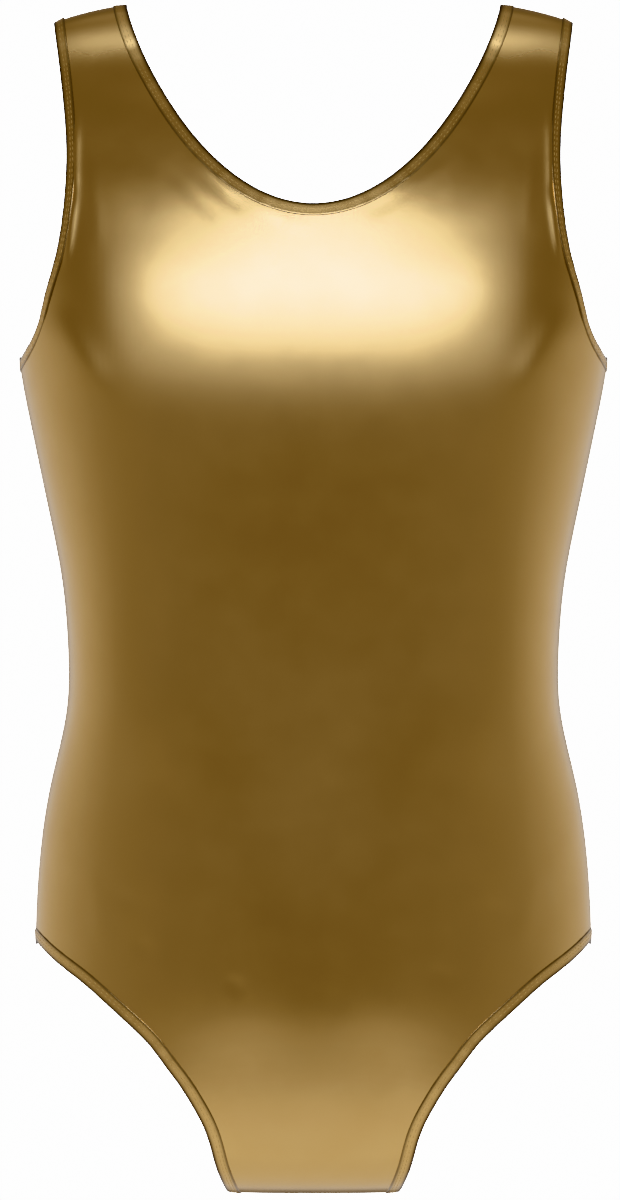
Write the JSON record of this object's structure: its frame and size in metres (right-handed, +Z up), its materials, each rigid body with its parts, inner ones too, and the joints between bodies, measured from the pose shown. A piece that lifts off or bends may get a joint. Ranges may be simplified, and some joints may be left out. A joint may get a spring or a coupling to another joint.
{
  "type": "leotard",
  "caption": "Sleeveless scoop-neck leotard in gold foil stretch cloth, standing open as worn, with narrow bound neck, armholes and leg openings.",
  "frame": {"origin": "midway between the straps, at the height where the wearer's shoulders carry them", "axes": "+Z up, -Y to the front of the garment, +X to the wearer's left"},
  "size_m": [0.3068, 0.2287, 0.6189],
  "materials": {
    "gold_cloth": "foil-faced stretch knit, soft metallic sheen",
    "gold_binding": "the same foil knit, turned over elastic"
  },
  "bodies": {
    "root": {"front_panel": "gold_cloth", "back_panel": "gold_cloth", "neck_binding": "gold_binding", "armhole_binding_left": "gold_binding", "armhole_binding_right": "gold_binding", "leg_binding_left": "gold_binding", "leg_binding_right": "gold_binding"}
  },
  "joints": []
}
